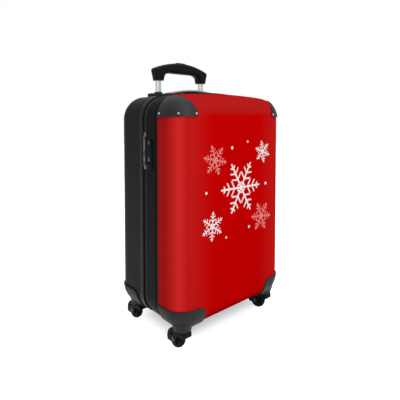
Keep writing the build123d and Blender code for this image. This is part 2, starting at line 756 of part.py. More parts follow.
# Lock: case, three dials on a shaft, release slide and key plug. Its face looks to -X.
lock_face = side_x + lock_plate
dial_axis_x = lock_face + dial_proud - dial_radius
plate_face = fillet(Rectangle(lock_width, lock_height).vertices(), lock_plate_round)
plate = extrude(Plane.YZ * plate_face, amount=lock_plate)
plate = fillet(plate.faces().sort_by(Axis.X)[0].edges(), lock_plate / 2)
lock = Pos(-lock_face, 0, 0) * plate
lock += Pos(-side_x + lock_body_depth / 2, 0, 0) * Box(lock_body_depth, lock_body_width, lock_body_height)
dials = []
for index in (-1, 0, 1):
    at_dial = Pos(-dial_axis_x, 0, dial_offset + index * dial_pitch)
    lock -= at_dial * Cylinder(dial_radius + dial_fit, dial_thickness + 2 * dial_fit)
    window = Box(2 * dial_radius, 2 * dial_radius, dial_thickness + 2 * dial_fit)
    lock -= at_dial * Pos(-dial_radius, 0, 0) * window
    dial = Cylinder(dial_radius, dial_thickness) - Cylinder(shaft_radius + shaft_fit, 2 * dial_thickness)
    for groove in range(10):
        dial -= Rot(0, 0, 36 * groove) * Pos(dial_radius, 0, 0) * Cylinder(dial_groove, 2 * dial_thickness)
    dials.append(Pos(0, y_lock, lock_centre_z) * at_dial * dial)
shaft_length = 3 * dial_pitch + 3
shaft = Pos(-dial_axis_x, 0, dial_offset) * Cylinder(shaft_radius, shaft_length)
lock -= shaft
plug_at = Pos(-lock_face + plug_depth / 2, 0, plug_offset) * Rot(0, 90, 0)
lock -= plug_at * Cylinder(plug_radius + plug_fit, plug_depth)
plug_length = plug_depth - 0.2 + plug_proud
plug = Rot(0, 90, 0) * Cylinder(plug_radius, plug_length)
plug = Pos(-lock_face - plug_proud + plug_length / 2, 0, plug_offset) * plug
plug -= Pos(-lock_face, 0, plug_offset) * Box(5, 1.0, 4.6)
slot_length = release_length + release_travel + 2 * release_fit
slot_z = release_offset - release_travel / 2
slot = Box(2 * release_depth, release_width + 2 * release_fit, slot_length)
lock -= Pos(-lock_face, 0, slot_z) * slot
slide_depth = release_depth - 0.2 + release_proud
slide = Box(slide_depth, release_width, release_length)
slide = fillet(slide.faces().sort_by(Axis.X)[0].edges(), 0.7)
slide = Pos(-lock_face - release_proud + slide_depth / 2, 0, release_offset) * slide
at_lock = Pos(0, y_lock, lock_centre_z)
lock_case = at_lock * lock
lock_shaft = at_lock * shaft
lock_plug = at_lock * plug
lock_release = at_lock * slide

# Zip sliders on the left side, each with a pull on a cross pin
coil_top = side_x - coil_sink
slider_face = side_x - slider_top
pin_x = slider_face + pull_pin_rise + 0.2
coil_span = 2 * coil_width + coil_split


def zip_slider(direction):
    """Body that straddles the coil, with two ears and a pin for the pull."""
    low = side_x - leg_inset + slider_clear
    body = Pos(-(slider_face + low) / 2, 0, 0) * Box(slider_face - low, slider_width, slider_length)
    body = fillet(body.edges().filter_by(Axis.X), 2.0)
    coil_top_clear = coil_top + slider_clear
    channel = Box(coil_top_clear - low + 2, coil_span + 2 * slider_clear, 2 * slider_length)
    body -= Pos(-(coil_top_clear + low - 2) / 2, 0, 0) * channel
    pin_z = direction * (slider_length / 2 - 2.5)
    reach = pull_neck_width / 2 + 0.2
    for end in (-1, 1):
        ear = Rot(90, 0, 0) * Cylinder(ear_radius, ear_thickness)
        ear = Pos(-pin_x, end * (reach + ear_thickness / 2), pin_z) * ear
        root = Box(pin_x - slider_face + 0.2, ear_thickness, 2 * ear_radius)
        ear += Pos(-(pin_x + slider_face - 0.2) / 2, end * (reach + ear_thickness / 2), pin_z) * root
        body += ear
    return body + Pos(-pin_x, 0, pin_z) * Rot(90, 0, 0) * Cylinder(pull_pin_radius, 2 * reach + ear_thickness)


def zip_pull(direction, length):
    """Tag with an eye round the slider's pin, a neck and a rounded grip."""
    pin_z = direction * (slider_length / 2 - 2.5)
    eye = Pos(-pin_x, 0, pin_z) * Rot(90, 0, 0) * Cylinder(ear_radius, pull_neck_width)
    start = pull_neck_width + 3
    neck = Pos(-pin_x, 0, pin_z + direction * start / 2) * Box(pull_thickness, pull_neck_width, start)
    blade_face = RectangleRounded(pull_width, length - start + 1, 2)
    blade = extrude(Plane.YZ * blade_face, amount=pull_thickness / 2, both=True)
    blade = Pos(-pin_x, 0, pin_z + direction * (start - 1 + (length - start + 1) / 2)) * blade
    tag = eye + neck + blade
    tag -= Pos(-pin_x, 0, pin_z + direction * (length - 4)) * Box(5, pull_width - 3, 3)
    return tag - Pos(-pin_x, 0, pin_z) * Rot(90, 0, 0) * Cylinder(pull_bore_radius, 2 * pull_width)


at_upper = Pos(0, y_zip, slider_upper_z)
at_lower = Pos(0, y_zip, slider_lower_z)

pieces = {
    "rear_shell": rear_shell,
    "rear_edge_trim": rear_edge_trim,
    "rear_zip_half": rear_zip_half,
    "hinge_tape": hinge_tape,
    "rear_corner_left": mirror(rear_guard, about=Plane.YZ),
    "rear_corner_right": rear_guard,
    "rear_kingpins": rear_kingpins,
    "handle_bezel": handle_bezel,
    "outer_tubes": outer_tubes,
    "handle_foot": handle_foot,
    "rear_lining": rear_lining,
    "strap_webbing": strap_webbing,
    "strap_buckle": strap_buckle,
    "carry_mounts": carry_mounts,
    "front_shell": front_shell,
    "front_piping": front_piping,
    "front_frame": front_frame,
    "front_zip_half": front_zip_half,
    "upper_corner_left": mirror(upper_guard, about=Plane.YZ),
    "upper_corner_right": upper_guard,
    "lower_corner_left": mirror(lower_guard, about=Plane.YZ),
    "lower_corner_right": lower_guard,
    "front_kingpins": front_kingpins,
    "front_rivets": front_rivets,
    "front_lining": front_lining,
    "lock_case": lock_case,
    "lock_shaft": lock_shaft,
    "lock_dial_1": dials[2],
    "lock_dial_2": dials[1],
    "lock_dial_3": dials[0],
    "lock_release": lock_release,
    "lock_plug": lock_plug,
    "zip_slider_upper": at_upper * zip_slider(-1),
    "zip_pull_upper": at_upper * zip_pull(-1, pull_upper_length),
    "zip_slider_lower": at_lower * zip_slider(1),
    "zip_pull_lower": at_lower * zip_pull(1, pull_lower_length),
    "carry_grip": carry_grip,
    "middle_tubes": middle_tubes,
    "middle_collars": middle_collars,
    "inner_tubes": inner_tubes,
    "grip_body": grip_body,
    "grip_button": grip_button,
    "push_rods": push_rods,
}
pieces.update(casters)
for name, solid in pieces.items():
    export_step(solid, f"parts/{name}.step")
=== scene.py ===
from math import cos, pi, radians, sin, sqrt

import bmesh
import bpy
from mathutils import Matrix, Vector, noise


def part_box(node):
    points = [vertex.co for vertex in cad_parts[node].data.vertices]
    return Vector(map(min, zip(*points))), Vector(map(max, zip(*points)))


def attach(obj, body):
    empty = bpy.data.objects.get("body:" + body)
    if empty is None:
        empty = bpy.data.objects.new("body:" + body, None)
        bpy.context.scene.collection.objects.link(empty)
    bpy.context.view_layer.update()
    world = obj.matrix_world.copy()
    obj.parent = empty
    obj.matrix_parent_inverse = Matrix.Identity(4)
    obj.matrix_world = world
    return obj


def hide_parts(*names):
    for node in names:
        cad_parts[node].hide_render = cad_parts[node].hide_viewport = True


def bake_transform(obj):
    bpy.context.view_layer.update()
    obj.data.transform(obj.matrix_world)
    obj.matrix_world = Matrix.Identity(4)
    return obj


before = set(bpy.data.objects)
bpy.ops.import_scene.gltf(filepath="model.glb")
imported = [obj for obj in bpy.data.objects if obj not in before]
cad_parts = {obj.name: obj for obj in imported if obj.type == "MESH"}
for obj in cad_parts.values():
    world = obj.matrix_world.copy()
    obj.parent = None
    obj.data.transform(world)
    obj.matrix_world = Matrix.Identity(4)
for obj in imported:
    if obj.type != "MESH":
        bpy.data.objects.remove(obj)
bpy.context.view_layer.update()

# Sizes of the case, in metres, from its solids
shell_low, shell_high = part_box("rear_shell")
CASE_BOTTOM = shell_low[2]
CASE_TOP = shell_high[2]
SIDE = shell_high[0]
FACE_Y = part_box("front_shell")[0][1]
FRAME_BACK_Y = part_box("front_frame")[1][1]
TRIM_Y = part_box("rear_edge_trim")[0][1]
ZIP_Y = (FRAME_BACK_Y + TRIM_Y) / 2
MIDDLE_Z = (CASE_TOP + CASE_BOTTOM) / 2

# Radii of the case's outline: its corners, and the arch of its top
CORNER = 0.054
CROWN = 1.370


# Finishes

class Tone:
    """A number that varies over a surface. Arithmetic on it adds Math nodes to its finish."""

    def __init__(self, finish, socket):
        self.finish = finish
        self.socket = socket

    def math(self, operation, *values):
        return self.finish.math(operation, self, *values)

    def __add__(self, other):
        return self.math("ADD", other)

    __radd__ = __add__

    def __sub__(self, other):
        return self.math("SUBTRACT", other)

    def __rsub__(self, other):
        return self.finish.math("SUBTRACT", other, self)

    def __mul__(self, other):
        return self.math("MULTIPLY", other)

    def __truediv__(self, other):
        return self.math("DIVIDE", other)

    def __abs__(self):
        return self.math("ABSOLUTE")

    def below(self, limit, soft):
        """1 under the limit and 0 over it, with a soft edge."""
        return self.finish.math("MULTIPLY", limit + soft - self, 1 / (2 * soft), clamp=True)

    def either(self, other):
        return self.math("MAXIMUM", other)

    def both(self, other):
        return self.math("MINIMUM", other)

    def sine(self):
        return self.math("SINE")

    def root(self):
        return self.math("SQRT")


class Nodes:
    """A node tree and the one way of adding to it."""

    def __init__(self, tree):
        self.tree = tree

    def node(self, kind, settings=None, **sockets):
        """Adds a node: its settings first, then the values or links of its sockets."""
        made = self.tree.nodes.new(kind)
        for key, value in (settings or {}).items():
            setattr(made, key, value)
        for key, value in sockets.items():
            numbered = key[0] == "i" and key[1:].isdigit()
            self.feed(made.inputs[int(key[1:]) if numbered else key], value)
        return made

    def feed(self, socket, value):
        if isinstance(value, Tone):
            self.tree.links.new(value.socket, socket)
        elif isinstance(value, bpy.types.NodeSocket):
            self.tree.links.new(value, socket)
        elif isinstance(value, tuple) and len(value) == 3 and socket.type == "RGBA":
            socket.default_value = (*value, 1)
        else:
            socket.default_value = value

    def math(self, operation, *values, clamp=False):
        sockets = {f"i{n}": value for n, value in enumerate(values)}
        made = self.node("ShaderNodeMath", {"operation": operation, "use_clamp": clamp}, **sockets)
        return Tone(self, made.outputs[0])

    def blend(self, amount, low, high):
        """A colour between two, by an amount from 0 to 1."""
        made = self.node("ShaderNodeMix", {"data_type": "RGBA"}, i0=amount, i6=low, i7=high)
        return made.outputs[2]

    def seen(self):
        """1 for rays from the camera, off gloss or through clear pieces, and 0 for other rays."""
        path = self.node("ShaderNodeLightPath")
        camera = Tone(self, path.outputs["Is Camera Ray"])
        gloss = Tone(self, path.outputs["Is Glossy Ray"])
        return camera.either(gloss).either(path.outputs["Is Transmission Ray"])


class Finish(Nodes):
    """A material built round one principled shader."""

    def __init__(self, name, colour, roughness, **constants):
        self.material = bpy.data.materials.new(name)
        self.material.use_nodes = True
        super().__init__(self.material.node_tree)
        self.shader = self.tree.nodes["Principled BSDF"]
        self.shader.inputs["Base Color"].default_value = (*colour, 1)
        self.shader.inputs["Roughness"].default_value = roughness
        for socket, value in constants.items():
            self.shader.inputs[socket.replace("_", " ")].default_value = value
        self._place = None

    @property
    def place(self):
        """Object coordinates, which are the case's own frame in metres."""
        if self._place is None:
            self._place = self.node("ShaderNodeTexCoord").outputs["Object"]
        return self._place

    def axes(self):
        made = self.node("ShaderNodeSeparateXYZ", Vector=self.place)
        return [Tone(self, made.outputs[n]) for n in range(3)]

    def noise(self, scale, detail=3.0, rough=0.6, stretch=(1, 1, 1)):
        where = self.node("ShaderNodeVectorMath", {"operation": "MULTIPLY"},
                          i0=self.place, i1=stretch)
        made = self.node("ShaderNodeTexNoise", Vector=where.outputs[0],
                         Scale=scale, Detail=detail, Roughness=rough)
        return Tone(self, made.outputs[0])

    def paint(self, colour):
        self.feed(self.shader.inputs["Base Color"], colour)

    def rough(self, value):
        self.feed(self.shader.inputs["Roughness"], value)

    def relief(self, height, depth):
        """Bumps of a depth in metres where the height runs from 0 to 1."""
        made = self.node("ShaderNodeBump", Height=height, Distance=depth, Strength=1.0)
        self.feed(self.shader.inputs["Normal"], made.outputs["Normal"])


def grey(level, blue):
    """A grey whose blue is given on its own."""
    return (level, level, blue)


def lifted(colour, factor, more):
    """A lighter tone of a colour."""
    return tuple(min(1.0, c * factor + more) for c in colour)


def plastic(name, colour, roughness, grain, depth, specular):
    """Moulded plastic with a fine grain and faint handling marks."""
    finish = Finish(name, colour, roughness, Specular_IOR_Level=specular)
    specks = finish.noise(grain)
    marks = finish.noise(28, detail=4.0)
    worn = lifted(colour, 1.25, 0.002)
    finish.paint(finish.blend(specks * 0.55 + marks * 0.45, colour, worn))
    finish.rough(roughness - 0.08 + marks * 0.16)
    finish.relief(specks, depth)
    return finish


def metal(name, colour, roughness, stretch=(1, 1, 1)):
    """Bare metal with a faint draw mark."""
    finish = Finish(name, colour, roughness, Metallic=1.0)
    drawn = finish.noise(900, detail=2.0, rough=0.5, stretch=stretch)
    marks = finish.noise(40)
    finish.paint(finish.blend(marks, tuple(c * 0.86 for c in colour), colour))
    finish.rough(roughness - 0.05 + drawn * 0.1)
    finish.relief(drawn, 0.00002)
    return finish


def cloth(name, colour, pitch, depth):
    """Plain weave: two crossing sets of threads."""
    finish = Finish(name, colour, 0.9, Specular_IOR_Level=0.2, Sheen_Weight=0.15)
    x, y, z = finish.axes()
    turn = 2 * pi / pitch
    over = ((x + y) * turn).sine() * (z * turn).sine()
    fuzz = finish.noise(1500, detail=2.0)
    height = over * 0.35 + 0.5 + fuzz * 0.2
    finish.paint(finish.blend(height, colour, lifted(colour, 1.5, 0.003)))
    finish.relief(height, depth)
    return finish


# Print on the front: each star's centre, radius, turn and stroke, and each spot's centre and radius
WHITE_STARS = (
    ((0.012, 0.336), 0.064, 0.0, 0.0021),
    ((0.088, 0.414), 0.027, 0.35, 0.0012),
    ((-0.078, 0.262), 0.032, 0.6, 0.0013),
)
PALE_STARS = (
    ((-0.070, 0.404), 0.034, 0.2, 0.0014),
    ((0.084, 0.258), 0.036, 0.1, 0.0015),
)
SPOTS = (
    ((-0.018, 0.428), 0.0034),
    ((0.040, 0.240), 0.0030),
    ((0.100, 0.336), 0.0034),
    ((-0.096, 0.336), 0.0030),
    ((0.034, 0.440), 0.0024),
    ((-0.036, 0.230), 0.0026),
)

# The pairs of branches on a star's arm: where each starts and how long it is, in radii
BRANCHES = ((0.34, 0.30), (0.58, 0.26), (0.80, 0.14))
BRANCH_SLANT = pi / 3
BRANCH_STROKE = 0.8
STAR_RING = 0.16
PRINT_EDGE = 0.0004


def flake(across, up, centre, radius, turn, stroke):
    """A six-armed star of strokes round a centre on the front, as a mask from 0 to 1."""
    u = across - centre[0]
    v = up - centre[1]
    reach = (u * u + v * v).root()
    fold = (v.math("ARCTAN2", u) + turn + 4 * pi).math("PINGPONG", pi / 6)
    along = reach * fold.math("COSINE")
    off = reach * fold.sine()
    thin = stroke * BRANCH_STROKE
    mask = off.below(stroke, PRINT_EDGE).both(along.below(radius, PRINT_EDGE))
    for foot, length in BRANCHES:
        slant = abs((along - foot * radius) * sin(BRANCH_SLANT) - off * cos(BRANCH_SLANT))
        tip = off.below(length * radius * sin(BRANCH_SLANT), PRINT_EDGE)
        mask = mask.either(slant.below(thin, PRINT_EDGE).both(tip))
    return mask.either(abs(along - STAR_RING * radius).below(thin, PRINT_EDGE))


def dot(across, up, centre, radius):
    """A round spot on the front, as a mask from 0 to 1."""
    u = across - centre[0]
    v = up - centre[1]
    return (u * u + v * v).root().below(radius, PRINT_EDGE)


def any_of(masks):
    """1 where any of the masks is 1."""
    whole = masks[0]
    for mask in masks[1:]:
        whole = whole.either(mask)
    return whole


# Tones of the red film and of the frost on it: painted sheen on its sides, painted highlight strips
# on its upright bends, painted shade and sheen in the band under its crown and painted shade at its
# foot. Each reach is a limit in metres and its soft edge.
MOTTLED_RED = ((0.465, 0.0002, 0.0002), (0.477, 0.0005, 0.0005))
MIDDLE_REACH = (0.105, 0.030)
SIDE_SHEEN_RED = (0.468, 0.0085, 0.0080)
STRIP_X = 0.1600
STRIP_REACH = (0.0080, 0.0080)
STRIP_HIGHLIGHT_RED = (0.63, 0.0215, 0.0205)
BAND_Z = 0.528
BAND_REACH = (0.022, 0.008)
BAND_SHADE_SHEEN_RED = (0.405, 0.0105, 0.0100)
FOOT_REACH = (CASE_BOTTOM + 0.016, 0.012)
FOOT_SHADE_RED = (0.150, 0.0003, 0.0003)
FRONT_REACH = (FACE_Y + 0.0006, 0.0003)
FROST_PALE = (0.72, 0.24, 0.22)
FROST_WHITE = (0.86, 0.82, 0.79)


def red_film():
    """Satin film with painted sheen on its sides, painted highlights on its upright bends, painted
    shade and sheen under its crown, painted shade at its foot, and stars of frost.
    """
    finish = Finish("red_film", (0.47, 0.0003, 0.0003), 0.3, Specular_IOR_Level=0.0)
    x, y, z = finish.axes()
    front = y.below(*FRONT_REACH)
    white = any_of([dot(x, z, *spot) for spot in SPOTS] + [flake(x, z, *s) for s in WHITE_STARS])
    pale = any_of([flake(x, z, *star) for star in PALE_STARS])
    mottle = finish.noise(9, rough=0.5)
    red = finish.blend(mottle, *MOTTLED_RED)
    # Painted sheen: the film is made paler towards both sides, outside the middle
    red = finish.blend(abs(x).below(*MIDDLE_REACH), SIDE_SHEEN_RED, red)
    # Painted highlight: a lighter strip along each upright bend
    red = finish.blend(abs(abs(x) - STRIP_X).below(*STRIP_REACH), red, STRIP_HIGHLIGHT_RED)
    # Painted shade and sheen: a darker, paler band on the top bend under the crown
    red = finish.blend(abs(z - BAND_Z).below(*BAND_REACH), red, BAND_SHADE_SHEEN_RED)
    # Painted shade: the film darkens towards its foot, on the bend that faces the floor
    red = finish.blend(z.below(*FOOT_REACH), red, FOOT_SHADE_RED)
    printed = finish.blend(pale * front * 0.9, red, FROST_PALE)
    finish.paint(finish.blend(white * front * 0.94, printed, FROST_WHITE))
    finish.rough(0.24 + mottle * 0.08)
    finish.relief(finish.noise(260, detail=2.0, rough=0.4), 0.00003)
    return finish


# The guards' hatch, the painted highlight on their upper bends and the painted shade on their
# housings
HATCH_PITCH = 0.0046
HATCH_GREYS = (grey(0.006, 0.0062), grey(0.042, 0.0435))
BEND_X = 0.146
BEND_REACH = (0.011, 0.011)
BEND_HIGHLIGHT_GREYS = (grey(0.012, 0.0124), grey(0.082, 0.085))
UPPER_REACH = (0.0, 0.01)
HOUSING_REACH = (CASE_BOTTOM - 0.002, 0.004)
HOUSING_SHADE = grey(0.0045, 0.0047)


def guard_plastic():
    """Grey moulded plastic with a fine cross-hatch, with a painted highlight on the upper bends and
    painted shade on the housings below the case.
    """
    finish = Finish("guard_plastic", grey(0.024, 0.025), 0.5, Specular_IOR_Level=0.08)
    x, y, z = finish.axes()
    turn = 2 * pi / HATCH_PITCH
    ridges = abs(((x - y + z) * turn).sine()).both(abs(((x - y - z) * turn).sine()))
    grain = finish.noise(700)
    height = ridges * 0.7 + grain * 0.3
    # Painted highlight: the hatch is lighter along the upper bends
    bend = abs(abs(x) - BEND_X).below(*BEND_REACH) * (MIDDLE_Z - z).below(*UPPER_REACH)
    hatched = finish.blend(bend, finish.blend(height, *HATCH_GREYS),
                           finish.blend(height, *BEND_HIGHLIGHT_GREYS))
    # Painted shade: the guard turns near black below the case's bottom, in the shade under the case
    finish.paint(finish.blend(z.below(*HOUSING_REACH), hatched, HOUSING_SHADE))
    finish.rough(0.42 + grain * 0.2)
    finish.relief(height, 0.00025)
    return finish


# The band's ribs
RIB_PITCH = 0.0022
RIB_GREYS = (grey(0.0015, 0.0016), grey(0.006, 0.0063))


def frame_plastic():
    """Black band with fine ribs, set side by side across its depth."""
    finish = Finish("frame_plastic", grey(0.004, 0.0042), 0.5, Specular_IOR_Level=0.035)
    y = finish.axes()[1]
    ribs = (y * (2 * pi / RIB_PITCH)).sine() * 0.5 + 0.5
    grain = finish.noise(900)
    finish.paint(finish.blend(ribs * 0.6 + grain * 0.4, *RIB_GREYS))
    finish.rough(0.44 + grain * 0.14)
    finish.relief(ribs * 0.5 + grain * 0.5, 0.00012)
    return finish


# The carry handle's arch, from its top and its diameter, and the painted highlight band along it
CARRY_TOP = CASE_TOP + 0.015
CARRY_ARCH = 0.672
CARRY_BLACKS = (grey(0.010, 0.0104), grey(0.016, 0.0165))
HIGHLIGHT_REACH = (0.0034, 0.0008)
TOP_HIGHLIGHT_GREY = grey(0.30, 0.305)


def carry_plastic():
    """Black moulding whose top has a painted pale grey highlight along the arch."""
    finish = Finish("carry_black", grey(0.012, 0.0125), 0.32, Specular_IOR_Level=0.3)
    x, _, z = finish.axes()
    under_top = CARRY_TOP - x * x / CARRY_ARCH - z
    grain = finish.noise(1200)
    black = finish.blend(grain, *CARRY_BLACKS)
    # Painted highlight: a pale grey band along the top of the arch
    finish.paint(finish.blend(under_top.below(*HIGHLIGHT_REACH), black, TOP_HIGHLIGHT_GREY))
    finish.rough(0.28 + grain * 0.1)
    finish.relief(grain, 0.00004)
    return finish


# Plastics give colour, roughness, scale and depth of the grain; cloths colour, pitch and depth of
# the weave; metals colour and roughness
RED = red_film()
SHELL = plastic("shell_black", grey(0.0044, 0.0046), 0.5, 520, 0.00018, specular=0.05)
GUARD = guard_plastic()
FRAME = frame_plastic()
TRIM = plastic("trim_black", grey(0.008, 0.0084), 0.45, 800, 0.00006, specular=0.08)
BLACK = plastic("moulded_black", grey(0.010, 0.011), 0.5, 900, 0.00008, specular=0.12)
SOFT = plastic("soft_touch_black", grey(0.004, 0.0043), 0.5, 1200, 0.00004, specular=0.06)
CARRY = carry_plastic()
CASTER = plastic("caster_black", grey(0.003, 0.0032), 0.42, 700, 0.00008, specular=0.04)
TYRE = plastic("tyre_rubber", grey(0.005, 0.005), 0.7, 400, 0.0001, specular=0.05)
PIPING = plastic("piping_rubber", grey(0.004, 0.0045), 0.6, 900, 0.00006, specular=0.06)
ZIP = cloth("zip_tape", grey(0.006, 0.007), 0.0012, 0.0002)
LINING = cloth("lining_cloth", grey(0.050, 0.055), 0.0016, 0.0002)
WEBBING = cloth("webbing", grey(0.014, 0.015), 0.0022, 0.0004)
CHROME = metal("rivet_bright", grey(0.36, 0.365), 0.25)
DARK = metal("blacked_steel", grey(0.05, 0.052), 0.4)
STEEL = metal("pin_steel", grey(0.52, 0.53), 0.35)
TUBE = metal("tube_aluminium", (0.52, 0.525, 0.53), 0.34, stretch=(1, 1, 0.02))
TEETH = plastic("zip_coil", grey(0.010, 0.011), 0.4, 1500, 0.00003, specular=0.4)
HINGE = cloth("hinge_cloth", grey(0.010, 0.011), 0.0014, 0.0002)
LOCK = plastic("lock_black", grey(0.0016, 0.0017), 0.42, 900, 0.00006, specular=0.04)
LOCK_METAL = metal("lock_metal", grey(0.065, 0.067), 0.3)
GUNMETAL = metal("zip_gunmetal", grey(0.105, 0.109), 0.35)

DRESS = {
    "rear_shell": SHELL, "rear_edge_trim": TRIM, "rear_zip_half": ZIP, "hinge_tape": ZIP,
    "rear_corner_left": GUARD, "rear_corner_right": GUARD, "rear_kingpins": STEEL,
    "handle_bezel": BLACK, "outer_tubes": TUBE, "handle_foot": BLACK, "rear_lining": LINING,
    "strap_webbing": WEBBING, "strap_buckle": BLACK, "carry_mounts": BLACK,
    "front_shell": RED, "front_piping": PIPING, "front_frame": FRAME, "front_zip_half": ZIP,
    "upper_corner_left": GUARD, "upper_corner_right": GUARD, "lower_corner_left": GUARD,
    "lower_corner_right": GUARD, "front_kingpins": STEEL, "front_rivets": CHROME,
    "front_lining": LINING, "lock_case": LOCK, "lock_shaft": STEEL, "lock_dial_1": TRIM,
    "lock_dial_2": TRIM, "lock_dial_3": TRIM, "lock_release": LOCK_METAL, "lock_plug": LOCK_METAL,
    "zip_slider_upper": GUNMETAL, "zip_pull_upper": GUNMETAL, "zip_slider_lower": GUNMETAL,
    "zip_pull_lower": GUNMETAL, "carry_grip": CARRY, "middle_tubes": TUBE,
    "middle_collars": BLACK, "inner_tubes": TUBE, "grip_body": SOFT, "grip_button": BLACK,
    "push_rods": BLACK,
}
for place in ("front_left", "front_right", "rear_left", "rear_right"):
    for piece, finish in (("fork", CASTER), ("axle", DARK), ("wheel", CASTER), ("tyre", TYRE)):
        DRESS[f"caster_{place}_{piece}"] = finish
for node, finish in DRESS.items():
    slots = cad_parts[node].data.materials
    slots.clear()
    slots.append(finish.material)


# Modelling helpers

TINY = 0.00001
SMOOTH_ANGLE = radians(35)


def start(name, add, scale, **settings):
    """Adds a primitive, puts its place into its mesh and opens it for editing, all selected."""
    bpy.ops.object.select_all(action="DESELECT")
    add(**settings)
    piece = bpy.context.object
    piece.name = name
    piece.data.name = name
    piece.scale = scale
    bpy.ops.object.transform_apply(location=True, rotation=True, scale=True)
    bpy.ops.object.mode_set(mode="EDIT")
    bpy.ops.mesh.select_all(action="SELECT")
    return piece


def pick(piece, kind, test):
    """Selects the vertices, edges or faces whose middle passes a test."""
    bpy.ops.mesh.select_mode(type=kind)
    bpy.ops.mesh.select_all(action="DESELECT")
    mesh = bmesh.from_edit_mesh(piece.data)
    parts = {"VERT": mesh.verts, "EDGE": mesh.edges, "FACE": mesh.faces}[kind]
    for part in parts:
        corners = [part] if kind == "VERT" else part.verts
        middle = sum((corner.co for corner in corners), Vector()) / len(corners)
        part.select_set(bool(test(middle)))
    mesh.select_flush_mode()
    bmesh.update_edit_mesh(piece.data)


def settle(piece, move):
    """Moves each vertex, as a hand would press or pull the piece into shape."""
    mesh = bmesh.from_edit_mesh(piece.data)
    for corner in mesh.verts:
        corner.co = move(corner.co.copy())
    bmesh.update_edit_mesh(piece.data)


def face_out():
    """Turns all faces of the piece in hand the same way."""
    bpy.ops.mesh.select_all(action="SELECT")
    bpy.ops.mesh.normals_make_consistent(inside=False)


def pull_out(depth):
    """Draws the whole piece in hand out along the depth of the case."""
    bpy.ops.mesh.select_all(action="SELECT")
    bpy.ops.mesh.extrude_region_move(TRANSFORM_OT_translate={"value": (0, depth, 0)})


def thick(thickness):
    """The modifier that gives a sheet its thickness."""
    return "SOLIDIFY", {"thickness": thickness, "offset": 0}


def rounded(width):
    """The modifier that rounds a sheet's edges."""
    return "BEVEL", {"width": width, "segments": 2}


def close(piece, finish, slot, *modifiers):
    """Leaves edit mode, applies the modifiers and gives the piece its finish. The slot is not used.
    """
    bpy.ops.object.mode_set(mode="OBJECT")
    for kind, settings in modifiers:
        change = piece.modifiers.new(kind.lower(), kind)
        for key, value in settings.items():
            setattr(change, key, value)
        bpy.ops.object.modifier_apply(modifier=change.name)
    bpy.ops.object.shade_smooth_by_angle(angle=SMOOTH_ANGLE)
    piece.data.materials.clear()
    piece.data.materials.append(finish.material)
    return piece


def join(*pieces):
    """One piece from several, the first of them kept."""
    bpy.ops.object.select_all(action="DESELECT")
    for piece in pieces:
        piece.select_set(True)
    bpy.context.view_layer.objects.active = pieces[0]
    bpy.ops.object.join()
    return pieces[0]


def crown(x, inset):
    """How high the arched top of the case, set in, is over a point of its width."""
    return CASE_TOP - CROWN + sqrt((CROWN - inset) ** 2 - x * x)


def case_loop(name, inset, y):
    """A loop of edges that follows the outline of the case, set in from it."""
    low = CASE_BOTTOM + inset
    high = crown(SIDE - CORNER, inset)
    piece = start(name, bpy.ops.mesh.primitive_plane_add, size=1,
                  location=(0, y, (low + high) / 2), rotation=(pi / 2, 0, 0),
                  scale=(2 * (SIDE - inset), high - low, 1))
    bpy.ops.mesh.delete(type="ONLY_FACE")
    pick(piece, "VERT", lambda p: True)
    bpy.ops.mesh.bevel(offset=CORNER - inset, segments=10, affect="VERTICES")
    pick(piece, "EDGE", lambda p: p.z > high - TINY)
    bpy.ops.mesh.subdivide(number_cuts=15)
    settle(piece, lambda p: Vector((p.x, p.y, crown(p.x, inset))) if p.z > high - TINY else p)
    pick(piece, "EDGE", lambda p: abs(p.x) > SIDE - inset - TINY)
    bpy.ops.mesh.subdivide(number_cuts=23)
    return piece


# Soft goods: sizes in metres

HINGE_HALF = 0.195
HINGE_LOW = MIDDLE_Z - HINGE_HALF
HINGE_HIGH = MIDDLE_Z + HINGE_HALF
HINGE_SIDE = SIDE - 0.02
HINGE_BEND = 0.006
HINGE_SLACK = 0.0007
HINGE_ROUNDING = 0.0003

TAPE_INSET = 0.0049
TAPE_THICKNESS = 0.0009
TAPE_LAP = 0.0118
TAPE_GAP = 0.0006
TEETH_INSET = 0.0032
TOOTH = (0.0012, 0.0030, 0.0016)
TOOTH_BEVEL = 0.0004
TOOTH_PITCH = 0.0026

LINING_INSET = 0.0126
LINING_EDGE = 0.0032
LINING_THICKNESS = 0.0008
LINING_GRID = 0.005
LINING_MOUTH = 0.002
LINING_SLACK = 0.004
FOLD_START = 0.03
WIDE_FOLDS = 14
FINE_FOLDS = 37
FOLD_SEED = 11
RIM_INSET = 0.0057
RIM_DEPTH = 0.0006
RIM_GAP = 0.0004
RIM_THICKNESS = 0.001
RIM_ROUNDING = 0.0004

STRAP_TILT = radians(52)
STRAP_WIDTH = 0.025
STRAP_THICKNESS = 0.0012
STRAP_ROUNDING = 0.0004
STRAP_START = 0.019
STRAP_REACH = 0.262
STRAP_WALL = 0.1572
STRAP_RIPPLE = 0.0006
STRAP_RIPPLES = 52


def leave_hinge(piece, kind):
    """Takes the run beside the hinge out of a strip or a loop."""
    for height in (HINGE_LOW, HINGE_HIGH):
        pick(piece, "VERT", lambda p: p.x > HINGE_SIDE)
        bpy.ops.mesh.bisect(plane_co=(0, 0, height), plane_no=(0, 0, 1))
    pick(piece, kind, lambda p: p.x > HINGE_SIDE and HINGE_LOW < p.z < HINGE_HIGH)
    bpy.ops.mesh.delete(type=kind)


